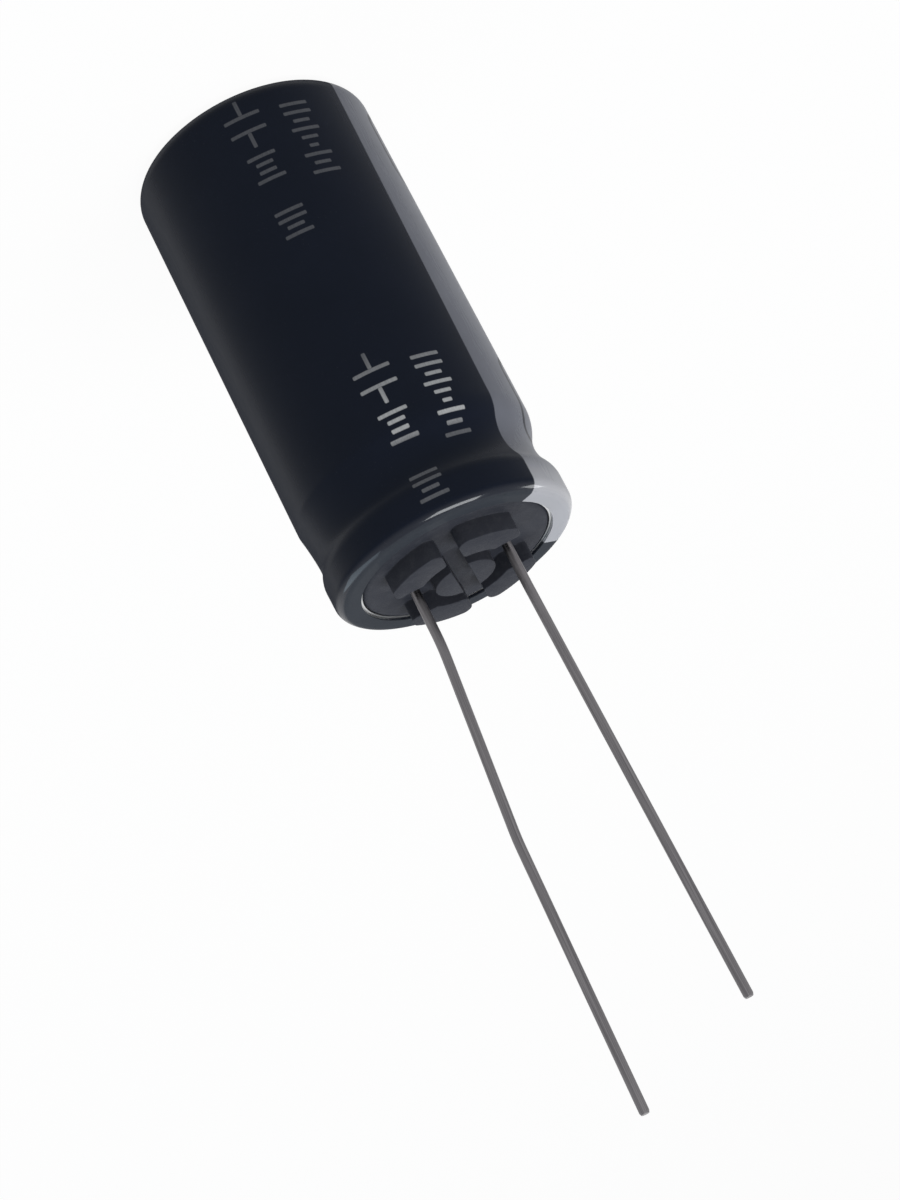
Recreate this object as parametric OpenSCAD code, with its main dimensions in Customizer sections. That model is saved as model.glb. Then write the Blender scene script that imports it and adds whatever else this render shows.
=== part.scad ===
// Radial electrolytic capacitor, standing on its closed end with both leads up.
// Origin: middle of the closed end. The leads lie along X: anode at +X, cathode and stripe at -X.

/* [Can] */
// Outside diameter of the drawn can
can_d = 12.5; // [11.5:0.5:16]
// Height of the can, closed end to the top of the rolled rim
can_h = 25.25; // [22:0.25:35]
// Thickness of the can's wall
can_wall = 0.35; // [0.2:0.05:0.4]
// Outside radius of the corner at the closed end
can_corner = 0.8; // [0.6:0.1:1.5]

/* [Bead groove] */
// Depth of the groove rolled into the can
groove_depth = 0.55; // [0.3:0.05:0.7]
// Distance from the top of the rim down to the deepest line of the groove
groove_drop = 3.2; // [3.1:0.1:3.6]
// Radius of the hollow of the groove
groove_r = 2.6; // [1.5:0.1:2.8]
// Radius where the barrel runs into the groove
shoulder_r = 2.2; // [1:0.1:3]
// Radius where the groove runs out into the rim
rim_shoulder_r = 1; // [0.6:0.1:1.2]

/* [Rolled rim] */
// How far the rim stays inside the barrel's radius
rim_step = 0.05; // [0:0.01:0.15]
// Outside radius of the rolled edge
rim_r = 0.47; // [0.45:0.01:0.6]
// Slope of the rolled edge down to the seal, in degrees
rim_slope = 3; // [0:1:20]
// Width of the rolled edge, from the can's outside to its lip
rim_reach = 1.25; // [1:0.05:1.4]

/* [Vent] */
// Length of each arm-to-arm score in the closed end
vent_span = 8; // [5:0.5:9]
// Width of the scored lines
vent_line = 0.25; // [0.15:0.05:0.4]
// Depth of the scored lines
vent_depth = 0.15; // [0.05:0.05:0.15]

/* [Sleeve] */
// Thickness of the shrunk film
sleeve_wall = 0.14; // [0.08:0.01:0.2]
// How far the film turns in over the closed end
sleeve_turn_in = 1.4; // [1.1:0.1:2]
// How far the film's edge stays back from the can's lip
sleeve_back = 0.05; // [0:0.05:0.3]

/* [Seal] */
// Thickness of the rubber below its outer floor
seal_h = 5.4; // [4.6:0.1:6.5]
// How far the outer floor bulges up past the top of the can's rim
seal_rise = 0.06; // [0:0.01:0.15]
// Radius of the floor's edge beside the can's lip
seal_edge_r = 0.3; // [0.1:0.05:0.4]
// Height of the raised pads above the outer floor
pad_h = 1; // [0.4:0.02:1.5]
// Floor left between the sleeve's edge and the pads
pad_margin = 0.85; // [0.6:0.05:1.2]
// Rubber of the pads outside each lead's centre
pad_side = 0.85; // [0.7:0.05:1.1]
// Width of the gas channel across the middle
channel_w = 0.9; // [0.5:0.1:1.2]
// Clear width between the pads, where the leads stand
lead_space = 3.2; // [2.4:0.1:3.6]
// Space between each lead's centre and the centre button
button_space = 0.9; // [0.7:0.05:1.1]
// Width of the ring-shaped space round the button
button_ring = 0.9; // [0.6:0.05:1.1]
// Radius of the pads' corners beside the channel
pad_nose_r = 0.5; // [0.2:0.05:0.6]
// Radius of the pads' other corners
pad_corner_r = 0.25; // [0.1:0.05:0.3]
// Radius of the edge moulded round the foot of the rubber
seal_foot_r = 0.4; // [0.2:0.1:0.8]

/* [Leads] */
// Diameter of the tinned wires
lead_d = 0.5; // [0.4:0.05:0.6]
// Distance between the two wires at the seal
lead_pitch = 5; // [4.8:0.1:5.4]
// Reach of the anode wire beyond the pads
anode_reach = 26.95; // [20:0.5:32]
// Reach of the cathode wire beyond the pads
cathode_reach = 24.4; // [15:0.5:30]
// Straight length of both wires beyond the pads, before they spread
lead_straight = 1.7; // [1:0.1:3]
// Angle at which the anode wire spreads, in degrees
anode_spread = 5.1; // [2:0.1:8]
// Length of the spread stretch of the anode wire
anode_spread_run = 9; // [5:0.5:12]
// Angle that the anode wire keeps after its second bend, in degrees
anode_lean = 1.4; // [0.2:0.1:1.9]
// Angle at which the cathode wire spreads, in degrees
cathode_spread = 0.8; // [0.3:0.1:3]
// Radius of the wires' soft bends, at the centre line
bend_r = 18; // [6:1:25]
// Length of the sheared taper at each wire's tip
tip_taper = 0.12; // [0.05:0.01:0.2]
// Radius that the taper takes off the wire
tip_cut = 0.05; // [0.02:0.01:0.1]

/* [Tabs] */
// Diameter of the round boss gripped by the seal
boss_d = 1.6; // [1.2:0.1:1.8]
// Depth of the weld below the seal's outer floor
weld_depth = 1; // [0.6:0.1:1.5]
// Height of the weld bead between boss and wire
weld_h = 0.4; // [0.2:0.05:0.5]
// Diameter of the weld bead where it meets the boss
weld_d = 1; // [0.8:0.05:1.1]
// Thickness of the flat paddle
paddle_t = 0.25; // [0.15:0.05:0.4]
// Width of the flat paddle
paddle_w = 2.2; // [1.9:0.1:2.6]
// Length of the flat paddle inside the roll
paddle_len = 14.5; // [8:0.5:16]
// Length of the coined shoulder from boss to paddle
coin_len = 0.9; // [0.5:0.1:1]

/* [Wound element] */
// Space between the roll and the seal
roll_head = 1.1; // [1.05:0.05:2]
// Space between the roll and the can's wall
roll_gap = 0.25; // [0.2:0.01:0.4]
// Diameter of the hole left by the winding pin
core_d = 1.5; // [1:0.1:2.2]
// Distance from one paper edge to the next at the roll's ends
turn_pitch = 0.6; // [0.5:0.05:1]
// Width of each paper edge that stands proud
paper_edge = 0.3; // [0.2:0.05:0.35]
// How far the foil lies back between the paper edges
foil_back = 0.35; // [0.2:0.05:0.6]

/* [Closing tape] */
// Thickness of the closing tape
tape_t = 0.08; // [0.05:0.01:0.09]
// Width of the closing tape
tape_w = 9; // [5:0.5:14]
// Overlap of the closing tape, in degrees round the roll
tape_overlap = 55; // [20:5:120]

/* [Fits] */
// Clearance between faces that are pressed together
fit_gap = 0.02; // [0.01:0.005:0.03]
// Clearance round each paddle in the roll
slot_gap = 0.04; // [0.02:0.01:0.06]

/* [Hidden] */
$fn = 96;

// Heights along the axis
skin = fit_gap + sleeve_wall;
can_foot = skin;
rim_top = can_foot + can_h;
seal_floor = rim_top + seal_rise;
seal_foot = seal_floor - seal_h;
pad_top = seal_floor + pad_h;
weld_foot = seal_floor - weld_depth;
roll_top = seal_foot - roll_head;

// Radii about the axis
can_r = can_d / 2;
rim_out_r = can_r - rim_step;
lip_r = can_r - rim_reach;
sleeve_lip_r = lip_r + sleeve_back;
seal_face_r = lip_r - fit_gap;
lead_r = lead_d / 2;
lead_x = lead_pitch / 2;
boss_r = boss_d / 2;
roll_r = can_r - can_wall - roll_gap;
core_r = core_d / 2;
tape_in_r = roll_r + fit_gap;

// Centres of the arcs of the can's side, as [radius, height]. Neighbouring arcs touch where their
// centres line up, so every layer of the wall keeps true arcs about the same centres.
groove_z = rim_top - groove_drop;
low_rise = sqrt(groove_depth * (2 * (shoulder_r + groove_r) - groove_depth));
rim_depth = groove_depth - rim_step;
high_rise = sqrt(rim_depth * (2 * (rim_shoulder_r + groove_r) - rim_depth));
low_c = [can_r - shoulder_r, groove_z - low_rise];
groove_c = [can_r - groove_depth + groove_r, groove_z];
high_c = [rim_out_r - rim_shoulder_r, groove_z + high_rise];
rim_c = [rim_out_r - rim_r, rim_top - rim_r];
corner_c = [can_r - can_corner, can_foot + can_corner];

// The roll stands on the can's floor, or in its rounded corner where the roll's edge reaches the curve
roll_foot = corner_c[1] - sqrt(pow(can_corner - can_wall - fit_gap, 2)
                               - pow(max(0, roll_r - corner_c[0]), 2));

// Seal face in plan
pad_out_r = sleeve_lip_r - pad_margin;
button_r = lead_x - button_space;
pad_in_r = button_r + button_ring;
pad_side_x = lead_x + pad_side;
channel_x = channel_w / 2;
lead_space_y = lead_space / 2;
// Depth to which raised rubber is rooted in the seal's body
pad_root = 0.5;

// Wires: each straight stretch laps into the bends beside it, which are drawn thinner by the neck
bend_neck = 0.003;
bend_lap = 0.03;
lead_foot_h = pad_top + lead_straight - weld_foot;
anode_back = anode_spread - anode_lean;
anode_used = lead_straight + bend_r * (2 * sin(anode_spread) - sin(anode_lean))
           + anode_spread_run * cos(anode_spread);
anode_end_run = (anode_reach - anode_used) / cos(anode_lean);
cathode_used = lead_straight + bend_r * sin(cathode_spread);
cathode_end_run = (cathode_reach - cathode_used) / cos(cathode_spread);

// Tabs: the coined shoulder between the boss and the paddle
coin_top = seal_foot - fit_gap;
coin_foot = coin_top - coin_len;

// Small length by which a cutting shape runs past the faces it cuts
past = 0.1;

// Where the rolled edge's slope leaves the rim's arc, for a layer grown by g
function slope_start(g) = rim_c + (rim_r + g) * [-sin(rim_slope), cos(rim_slope)];
// Where that slope would meet the axis
function slope_axis(g) = let(s = slope_start(g)) [0, s[1] - s[0] * tan(rim_slope)];

// Half section of everything inside the can's outer skin, grown outwards by g
module case_section(g) {
    difference() {
        polygon([[0, can_foot - g], [corner_c[0], can_foot - g], corner_c, [can_r + g, corner_c[1]],
                 [can_r + g, low_c[1]], low_c, groove_c, high_c, [rim_out_r + g, high_c[1]],
                 [rim_out_r + g, rim_c[1]], rim_c, slope_start(g), slope_axis(g)]);
        translate(groove_c) circle(groove_r - g);
    }
    translate(corner_c) circle(can_corner + g);
    translate(low_c) circle(shoulder_r + g);
    translate(high_c) circle(rim_shoulder_r + g);
    translate(rim_c) circle(rim_r + g);
}

// Clears the open end out to radius r
module mouth(r) {
    translate([0, groove_z]) square([r, rim_top]);
}

// Shrink sleeve: one film over the barrel, the groove and both turned ends
module sleeve() {
    color([0.10, 0.11, 0.15]) rotate_extrude() difference() {
        case_section(skin);
        case_section(fit_gap);
        mouth(sleeve_lip_r);
        translate([0, -past]) square([can_r - sleeve_turn_in, can_corner]);
    }
}

// One scored line of the vent, along X, with round ends
module vent_score() {
    end_x = (vent_span - vent_line) / 2;
    linear_extrude(vent_depth + past) {
        square([2 * end_x, vent_line], center = true);
        for (x = [-end_x, end_x]) translate([x, 0]) circle(vent_line / 2);
    }
}

// Drawn can with its bead groove, rolled rim and scored vent
module can() {
    color([0.78, 0.79, 0.80]) difference() {
        rotate_extrude() difference() {
            case_section(0);
            case_section(-can_wall);
            mouth(lip_r);
        }
        for (a = [45, 135]) rotate([0, 0, a]) translate([0, 0, can_foot - past]) vent_score();
    }
}

// Rounds a corner of a flat shape: takes the corner off between the two touching points
// t1 and t2 and puts an arc of radius r about c in its place
module round_corner(c, r, t1, t2, tip) {
    difference() {
        children();
        polygon([c, t1, tip, t2]);
    }
    translate(c) circle(r);
}

// Centre of a corner arc of radius r beside the line x = side, inside the circle of radius big
function in_arc_c(side, r, big) = [side, sqrt(pow(big - r, 2) - pow(side, 2))];
// Centre of a corner arc of radius r beside the line x = side, outside the circle of radius small
function out_arc_c(side, r, small) = [side, sqrt(pow(small + r, 2) - pow(side, 2))];
// Point on the circle of radius big in the direction of c
function on_circle(c, big) = big * c / norm(c);

// Plan of one stand-off pad, in the quarter where x and y are positive
module pad_plan() {
    nose = in_arc_c(channel_x + pad_nose_r, pad_nose_r, pad_out_r);
    heel = in_arc_c(pad_side_x - pad_corner_r, pad_corner_r, pad_out_r);
    toe = out_arc_c(channel_x + pad_corner_r, pad_corner_r, pad_in_r);
    foot = [pad_side_x - pad_corner_r, lead_space_y + pad_corner_r];
    round_corner(nose, pad_nose_r, [channel_x, nose[1]], on_circle(nose, pad_out_r),
                 [channel_x, pad_out_r + past])
    round_corner(heel, pad_corner_r, [pad_side_x, heel[1]], on_circle(heel, pad_out_r),
                 [pad_side_x + past, heel[1] + 2 * pad_corner_r])
    round_corner(toe, pad_corner_r, [channel_x, toe[1]], on_circle(toe, pad_in_r),
                 [channel_x, toe[1] - 2 * pad_corner_r])
    round_corner(foot, pad_corner_r, [pad_side_x, foot[1]], [foot[0], lead_space_y],
                 [pad_side_x, lead_space_y])
    difference() {
        intersection() {
            circle(pad_out_r);
            translate([channel_x, lead_space_y]) square([pad_side_x - channel_x, pad_out_r]);
        }
        circle(pad_in_r);
    }
}

// Plan of the round centre button, split by the channel
module button_plan() {
    difference() {
        circle(button_r);
        square([channel_w, lead_pitch], center = true);
    }
}

// Everything that stands up from the seal's outer floor
module seal_relief() {
    translate([0, 0, seal_floor - pad_root]) linear_extrude(pad_h + pad_root) {
        for (sx = [0, 1], sy = [0, 1]) mirror([sx, 0, 0]) mirror([0, sy, 0]) pad_plan();
        button_plan();
    }
}

// Stepped hole for one terminal: boss, weld bead and wire
module terminal_hole() {
    boss_up = weld_foot + fit_gap - seal_foot;
    bead_up = weld_h + fit_gap;
    translate([0, 0, seal_foot - past]) cylinder(r = boss_r + fit_gap, h = boss_up + past);
    translate([0, 0, weld_foot]) cylinder(r = weld_d / 2 + fit_gap, h = bead_up + fit_gap);
    translate([0, 0, weld_foot]) cylinder(r = lead_r + fit_gap, h = weld_depth + past);
}

// Moulded rubber seal, waisted by the bead groove and held down by the rolled edge, inside whose
// lip its face bulges up
module rubber_seal() {
    foot_c = [can_r - can_wall - fit_gap - seal_foot_r, seal_foot + seal_foot_r];
    edge_c = [seal_face_r - seal_edge_r, seal_floor - seal_edge_r];
    color([0.22, 0.22, 0.24]) difference() {
        union() {
            rotate_extrude() {
                intersection() {
                    case_section(-can_wall - fit_gap);
                    union() {
                        translate([0, seal_foot]) square([foot_c[0], seal_h]);
                        translate([0, foot_c[1]]) square([can_r, seal_h]);
                        translate(foot_c) circle(seal_foot_r);
                    }
                }
                translate([0, seal_foot]) square([edge_c[0], seal_h]);
                translate([0, seal_foot]) square([seal_face_r, seal_h - seal_edge_r]);
                translate(edge_c) circle(seal_edge_r);
            }
            seal_relief();
        }
        for (x = [-lead_x, lead_x]) translate([x, 0, 0]) terminal_hole();
    }
}

// Soft bend of a wire that runs up along Z: an arc of the given angle, towards +X
module bend(angle) {
    translate([bend_r, 0, 0]) mirror([1, 0, 0]) rotate([90, 0, 0])
        rotate_extrude(angle = angle) translate([bend_r, 0]) circle(lead_r - bend_neck);
}

// Carries its children to the end of such a bend
module after_bend(angle) {
    translate([bend_r * (1 - cos(angle)), 0, bend_r * sin(angle)]) rotate([0, angle, 0]) children();
}

// Straight stretch of wire after a bend, lapped a little way back into it
module stretch(run) {
    translate([0, 0, -bend_lap]) cylinder(r = lead_r, h = run + bend_lap);
}

// Last straight stretch of a wire, with its sheared tip
module lead_end(run) {
    rotate_extrude() polygon([[0, -bend_lap], [lead_r, -bend_lap], [lead_r, run - tip_taper],
                              [lead_r - tip_cut, run], [0, run]]);
}

// Weld bead and the straight foot of a wire, up to its first bend, where the children start
module lead_foot() {
    foot_top = lead_foot_h + bend_lap;
    translate([0, 0, weld_foot]) {
        rotate_extrude() polygon([[0, 0], [weld_d / 2, 0], [lead_r, weld_h], [lead_r, foot_top],
                                  [0, foot_top]]);
        translate([0, 0, lead_foot_h]) children();
    }
}

// Long wire: straight foot, soft bend outwards, spread stretch, soft bend back, straight end
module anode_lead() {
    color([0.66, 0.65, 0.66]) translate([lead_x, 0, 0]) lead_foot() {
        bend(anode_spread);
        after_bend(anode_spread) {
            stretch(anode_spread_run + bend_lap);
            translate([0, 0, anode_spread_run]) mirror([1, 0, 0]) {
                bend(anode_back);
                after_bend(anode_back) lead_end(anode_end_run);
            }
        }
    }
}

// Short wire on the stripe side: straight foot, slight bend outwards, straight end
module cathode_lead() {
    color([0.66, 0.65, 0.66]) mirror([1, 0, 0]) translate([lead_x, 0, 0]) lead_foot() {
        bend(cathode_spread);
        after_bend(cathode_spread) lead_end(cathode_end_run);
    }
}

// Flat blade in the plane of Y and Z, grown by g: a round foot, straight sides up to the height
// head, and above it a neck that narrows to half the width neck at the height neck_top
module blade(g, head, neck, neck_top) {
    w = paddle_w / 2 + g;
    t = paddle_t / 2 + g;
    round_z = roll_top - paddle_len + paddle_w / 2;
    translate([-t, 0, 0]) rotate([90, 0, 90]) linear_extrude(2 * t) {
        polygon([[-w, round_z], [w, round_z], [w, head], [neck, neck_top], [-neck, neck_top],
                 [-w, head]]);
        translate([0, round_z]) circle(w);
    }
}

// Tab: round boss in the seal, coined to a wedge at its foot, and the blade that runs up into it
module tab() {
    coin_slope = (boss_r - paddle_t / 2) / coin_len;
    wedge_foot = coin_foot - paddle_t / 2 / coin_slope;
    wedge_head = coin_foot + (boss_r - paddle_t / 2 + past) / coin_slope;
    intersection() {
        translate([0, 0, wedge_foot]) cylinder(r = boss_r, h = weld_foot - wedge_foot);
        rotate([90, 0, 0]) linear_extrude(boss_d + past, center = true)
            polygon([[0, wedge_foot], [boss_r + past, wedge_head], [boss_r + past, weld_foot + past],
                     [-boss_r - past, weld_foot + past], [-boss_r - past, wedge_head]]);
    }
    blade(0, coin_foot, boss_r / 2, coin_top);
}

module anode_tab() {
    color([0.82, 0.83, 0.84]) translate([lead_x, 0, 0]) tab();
}

module cathode_tab() {
    color([0.82, 0.83, 0.84]) translate([-lead_x, 0, 0]) tab();
}

// Ring-shaped hollows between the paper edges, from the core to the last turn that fits
module foil_hollows(z) {
    hollow = turn_pitch - paper_edge;
    for (r = [core_r + paper_edge : turn_pitch : roll_r - paper_edge - hollow])
        translate([r, z]) square([hollow, foil_back]);
}

// Foils and papers wound into one roll, with the slots in which the paddles lie
module wound_element() {
    color([0.80, 0.74, 0.60]) difference() {
        rotate_extrude() difference() {
            translate([core_r, roll_foot]) square([roll_r - core_r, roll_top - roll_foot]);
            foil_hollows(roll_foot);
            foil_hollows(roll_top - foil_back);
        }
        for (x = [-lead_x, lead_x]) translate([x, 0, 0])
            blade(slot_gap, roll_top, paddle_w / 2 + slot_gap, roll_top + past);
    }
}

// Tape that closes the winding: single for most of the turn, double where its tail laps
module element_tape() {
    tape_foot = (roll_foot + roll_top - tape_w) / 2;
    color([0.86, 0.80, 0.55]) translate([0, 0, tape_foot]) {
        rotate([0, 0, tape_overlap / 2]) rotate_extrude(angle = 360 - tape_overlap)
            translate([tape_in_r, 0]) square([tape_t, tape_w]);
        rotate([0, 0, -tape_overlap / 2]) rotate_extrude(angle = tape_overlap)
            translate([tape_in_r, 0]) square([2 * tape_t, tape_w]);
    }
}

sleeve();
can();
rubber_seal();
anode_lead();
cathode_lead();
anode_tab();
cathode_tab();
wound_element();
element_tape();
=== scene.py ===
# %% [markdown]
# # A radial electrolytic capacitor
# The real part is a small drawn aluminium can with a foil roll inside, a rubber seal crimped into
# its open end, two tinned wires through the seal, and a printed film shrunk over everything.
# The solid model is loaded first and stays fixed. Everything below only dresses it, at real size.

import math
from collections import namedtuple

import bmesh
import bpy
from mathutils import Matrix, Vector


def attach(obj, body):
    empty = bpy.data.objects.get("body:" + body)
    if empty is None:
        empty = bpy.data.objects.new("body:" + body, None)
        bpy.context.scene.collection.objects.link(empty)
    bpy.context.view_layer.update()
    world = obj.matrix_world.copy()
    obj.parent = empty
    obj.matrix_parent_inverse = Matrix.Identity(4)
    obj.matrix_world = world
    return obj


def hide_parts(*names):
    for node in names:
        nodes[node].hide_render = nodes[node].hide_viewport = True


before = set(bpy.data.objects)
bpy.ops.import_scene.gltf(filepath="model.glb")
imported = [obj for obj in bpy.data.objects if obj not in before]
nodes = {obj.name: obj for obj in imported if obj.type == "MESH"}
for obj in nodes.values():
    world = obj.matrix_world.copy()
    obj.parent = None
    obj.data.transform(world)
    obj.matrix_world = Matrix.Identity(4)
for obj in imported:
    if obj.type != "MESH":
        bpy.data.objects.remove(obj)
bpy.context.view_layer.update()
mm = 0.001
print("solids:", ", ".join(sorted(nodes)))

# %% [markdown]
# ## Small helpers for trees of nodes
# Shader and geometry trees are built in code here. A few short helpers keep that readable: they
# place a node, set or link its sockets, do one step of arithmetic, turn one range of numbers into
# another, and open a new group with named inputs and outputs.

# %% Helpers that place and link nodes
def place(tree, kind, **settings):
    """New node of the given kind, with its settings."""
    node = tree.nodes.new(kind)
    for key, value in settings.items():
        setattr(node, key, value)
    return node

def feed(tree, socket, source):
    """Sets a socket to a plain value, or links it to another node's output."""
    if isinstance(source, bpy.types.NodeSocket):
        tree.links.new(source, socket)
    else:
        socket.default_value = source

def fill(tree, node, **sources):
    """Feeds sockets by their titles, written with _ for a space, and hands the node on."""
    for title, source in sources.items():
        feed(tree, node.inputs[title.replace("_", " ")], source)
    return node

def new_group(name, kind, takes, gives):
    """New group with named inputs and outputs, and its two end nodes."""
    group = bpy.data.node_groups.new(name, kind)
    for title, socket_type, value in takes:
        socket = group.interface.new_socket(title, in_out="INPUT", socket_type=socket_type)
        if value is not None:
            socket.default_value = value
    for title, socket_type in gives:
        group.interface.new_socket(title, in_out="OUTPUT", socket_type=socket_type)
    return group, group.nodes.new("NodeGroupInput"), group.nodes.new("NodeGroupOutput")

# %% Helpers that work with numbers
def calc(tree, operation, *sources):
    """One step of arithmetic."""
    node = place(tree, "ShaderNodeMath", operation=operation)
    for socket, source in zip(node.inputs, sources):
        feed(tree, socket, source)
    return node.outputs[0]

def spread(tree, value, low, high, to_low=0.0, to_high=1.0, soft=False):
    """Turns the range from low to high into another one, and stops at its ends."""
    node = place(tree, "ShaderNodeMapRange", interpolation_type="SMOOTHSTEP" if soft else "LINEAR")
    fill(tree, node, Value=value, From_Min=low, From_Max=high, To_Min=to_low, To_Max=to_high)
    return node.outputs["Result"]

def between(tree, share, start, end):
    """Number that runs from start to end with the share."""
    node = place(tree, "ShaderNodeMix", data_type="FLOAT")
    for index, source in ((0, share), (2, start), (3, end)):
        feed(tree, node.inputs[index], source)
    return node.outputs[0]

def noise(tree, where, scale, detail=2.0):
    """Cloudy noise; most of it lies between noise_low and noise_high."""
    node = place(tree, "ShaderNodeTexNoise")
    return fill(tree, node, Vector=where, Scale=scale, Detail=detail).outputs["Fac"]

noise_low, noise_high = 0.3, 0.7

# %% [markdown]
# ## Studio
# Small parts are usually shot on a white sheet in soft light. The sheet is a plain pale floor, and
# camera and gloss rays see it as nearly pure white, while a little of its own shading is kept, so
# the part still has a soft contact shadow. The lamps stay at a plain level, at which a colour
# renders about as it is written.

# %% White room
scene = bpy.context.scene
scene.view_settings.view_transform = "Standard"
white = (1, 1, 1, 1)
room_strength, seen_strength = 0.35, 1.0

def seen_white(tree):
    """Light Path mask that is 1 for the rays that see the background: camera, gloss, glass."""
    path = place(tree, "ShaderNodeLightPath")
    mask = path.outputs["Is Camera Ray"]
    for ray in ("Is Glossy Ray", "Is Transmission Ray"):
        mask = calc(tree, "MAXIMUM", mask, path.outputs[ray])
    return mask

def close_tree(tree, kind, share, plain, seen):
    """Ends a tree with a mix of two shaders: plain at a share of 0, seen at a share of 1."""
    mix = place(tree, "ShaderNodeMixShader")
    for socket, source in zip(mix.inputs, (share, plain.outputs[0], seen.outputs[0])):
        feed(tree, socket, source)
    fill(tree, place(tree, kind), Surface=mix.outputs[0])

room = bpy.data.worlds.new("white_room")
scene.world = room
room.use_nodes = True
tree = room.node_tree
tree.nodes.clear()
room_light = fill(tree, place(tree, "ShaderNodeBackground"), Color=white, Strength=room_strength)
room_seen = fill(tree, place(tree, "ShaderNodeBackground"), Color=white, Strength=seen_strength)
close_tree(tree, "ShaderNodeOutputWorld", seen_white(tree), room_light, room_seen)
print("room strength:", room_strength, "and where it is seen:", seen_strength)

# %% White floor
floor_radius, floor_segments = 3.0, 96
sheet_grey, sheet_glow, glow_share = 0.62, 1.0, 0.955

floor_mat = bpy.data.materials.new("floor_sheet")
floor_mat.use_nodes = True
tree = floor_mat.node_tree
tree.nodes.clear()
sheet = fill(tree, place(tree, "ShaderNodeBsdfDiffuse"), Color=(sheet_grey, sheet_grey, sheet_grey, 1))
glow = fill(tree, place(tree, "ShaderNodeEmission"), Color=white, Strength=sheet_glow)
close_tree(tree, "ShaderNodeOutputMaterial",
           calc(tree, "MULTIPLY", seen_white(tree), glow_share), sheet, glow)

floor_mesh = bpy.data.meshes.new("floor")
bm = bmesh.new()
bmesh.ops.create_circle(bm, cap_ends=True, segments=floor_segments, radius=floor_radius)
bm.to_mesh(floor_mesh)
bm.free()
floor = bpy.data.objects.new("floor", floor_mesh)
scene.collection.objects.link(floor)
floor_mesh.materials.append(floor_mat)
print("floor radius in m:", floor_radius)

# %% [markdown]
# The camera repeats the photograph's view: about 21 degrees above the part, a long lens close by,
# and the body turned nearly upside down, so the closed end points up and left in the picture.

# %% Camera
view_azimuth, view_elevation, view_roll = (math.radians(a) for a in (-2.563, 21.468, 153.215))
view_distance = 137.12 * mm
view_target = Vector((1.570, 0, 26.696)) * mm

def away_from(azimuth, elevation):
    """Unit vector from the part towards a viewer; azimuth 0 stands in front, at -Y."""
    return Vector((math.sin(azimuth) * math.cos(elevation),
                   -math.cos(azimuth) * math.cos(elevation), math.sin(elevation)))

back = away_from(view_azimuth, view_elevation)
level = (-back).cross(Vector((0, 0, 1))).normalized()
upright = level.cross(-back)
picture_right = level * math.cos(view_roll) + upright * math.sin(view_roll)
picture_up = upright * math.cos(view_roll) - level * math.sin(view_roll)

camera_data = bpy.data.cameras.new("camera")
camera_data.lens = 85.09
camera_data.sensor_width = 36
camera_data.shift_x = 0.0090
camera_data.shift_y = -0.0023
camera_data.clip_start = 0.001
camera_data.clip_end = 20
camera = bpy.data.objects.new("camera", camera_data)
camera.matrix_world = Matrix.Translation(view_target + back * view_distance) @ Matrix(
    (picture_right, picture_up, back)).transposed().to_4x4()
scene.collection.objects.link(camera)
scene.camera = camera
print("camera at, in mm:", [round(v / mm, 1) for v in camera.matrix_world.translation])

# %% [markdown]
# The picture's light comes from high up in front of the part, a little to the stripe's side: the
# thin bright line along the rolled rim is that lamp. A small one behind the stripe lights the
# shoulder of the groove, and a weak, broad and slightly blue one opens the far side.

# %% Soft lamps
lamp_aim = Vector((0, 0, 20)) * mm

def soft_lamp(name, azimuth, elevation, distance, size, watts, colour=(1, 1, 1)):
    """Area lamp that looks at the middle of the part; its size is its width and height in m."""
    away = away_from(math.radians(azimuth), math.radians(elevation))
    data = bpy.data.lights.new(name, "AREA")
    data.shape = "RECTANGLE"
    data.size, data.size_y = size
    data.energy = watts
    data.color = colour
    lamp = bpy.data.objects.new(name, data)
    lamp.location = lamp_aim + away * distance
    lamp.rotation_euler = away.to_track_quat("Z", "Y").to_euler()
    scene.collection.objects.link(lamp)
    print(name, "watts:", watts)

soft_lamp("rim_lamp", azimuth=-36, elevation=68, distance=0.45, size=(0.26, 0.16), watts=1.7)
soft_lamp("shoulder_lamp", azimuth=-117, elevation=35, distance=0.45, size=(0.12, 0.12), watts=0.35)
soft_lamp("fill_lamp", azimuth=112, elevation=42, distance=0.6, size=(0.3, 0.4), watts=0.9,
          colour=(0.72, 0.88, 1.0))

# %% [markdown]
# ## Effects that several finishes share
# Handled parts carry a little dust and fine rubbed lines, and no skin is perfectly even. Each of
# these effects is one shader group that gives only a mask or a height, and every material places
# it with its own values.

# %% Shared effect: settled dust
speck_reach, speck_edge = 0.16, 9.0
patch_scale, patch_from, patch_full = 0.11, 0.45, 0.75

dust, g_in, g_out = new_group(
    "settled_dust", "ShaderNodeTree",
    [("Place", "NodeSocketVector", None), ("Speck size", "NodeSocketFloat", 0.2 * mm),
     ("Amount", "NodeSocketFloat", 0.3)],
    [("Mask", "NodeSocketFloat")])
density = calc(dust, "DIVIDE", 1.0, g_in.outputs["Speck size"])
cells = fill(dust, place(dust, "ShaderNodeTexVoronoi"), Vector=g_in.outputs["Place"], Scale=density)
near = calc(dust, "SUBTRACT", speck_reach, cells.outputs["Distance"])
speck = fill(dust, place(dust, "ShaderNodeClamp"), Value=calc(dust, "MULTIPLY", near, speck_edge))
drift = noise(dust, g_in.outputs["Place"], calc(dust, "MULTIPLY", density, patch_scale))
patch = spread(dust, drift, patch_from, patch_full)
mask = calc(dust, "MULTIPLY", speck.outputs[0], patch)
fill(dust, g_out, Mask=calc(dust, "MULTIPLY", mask, g_in.outputs["Amount"]))
print("group:", dust.name)

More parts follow.
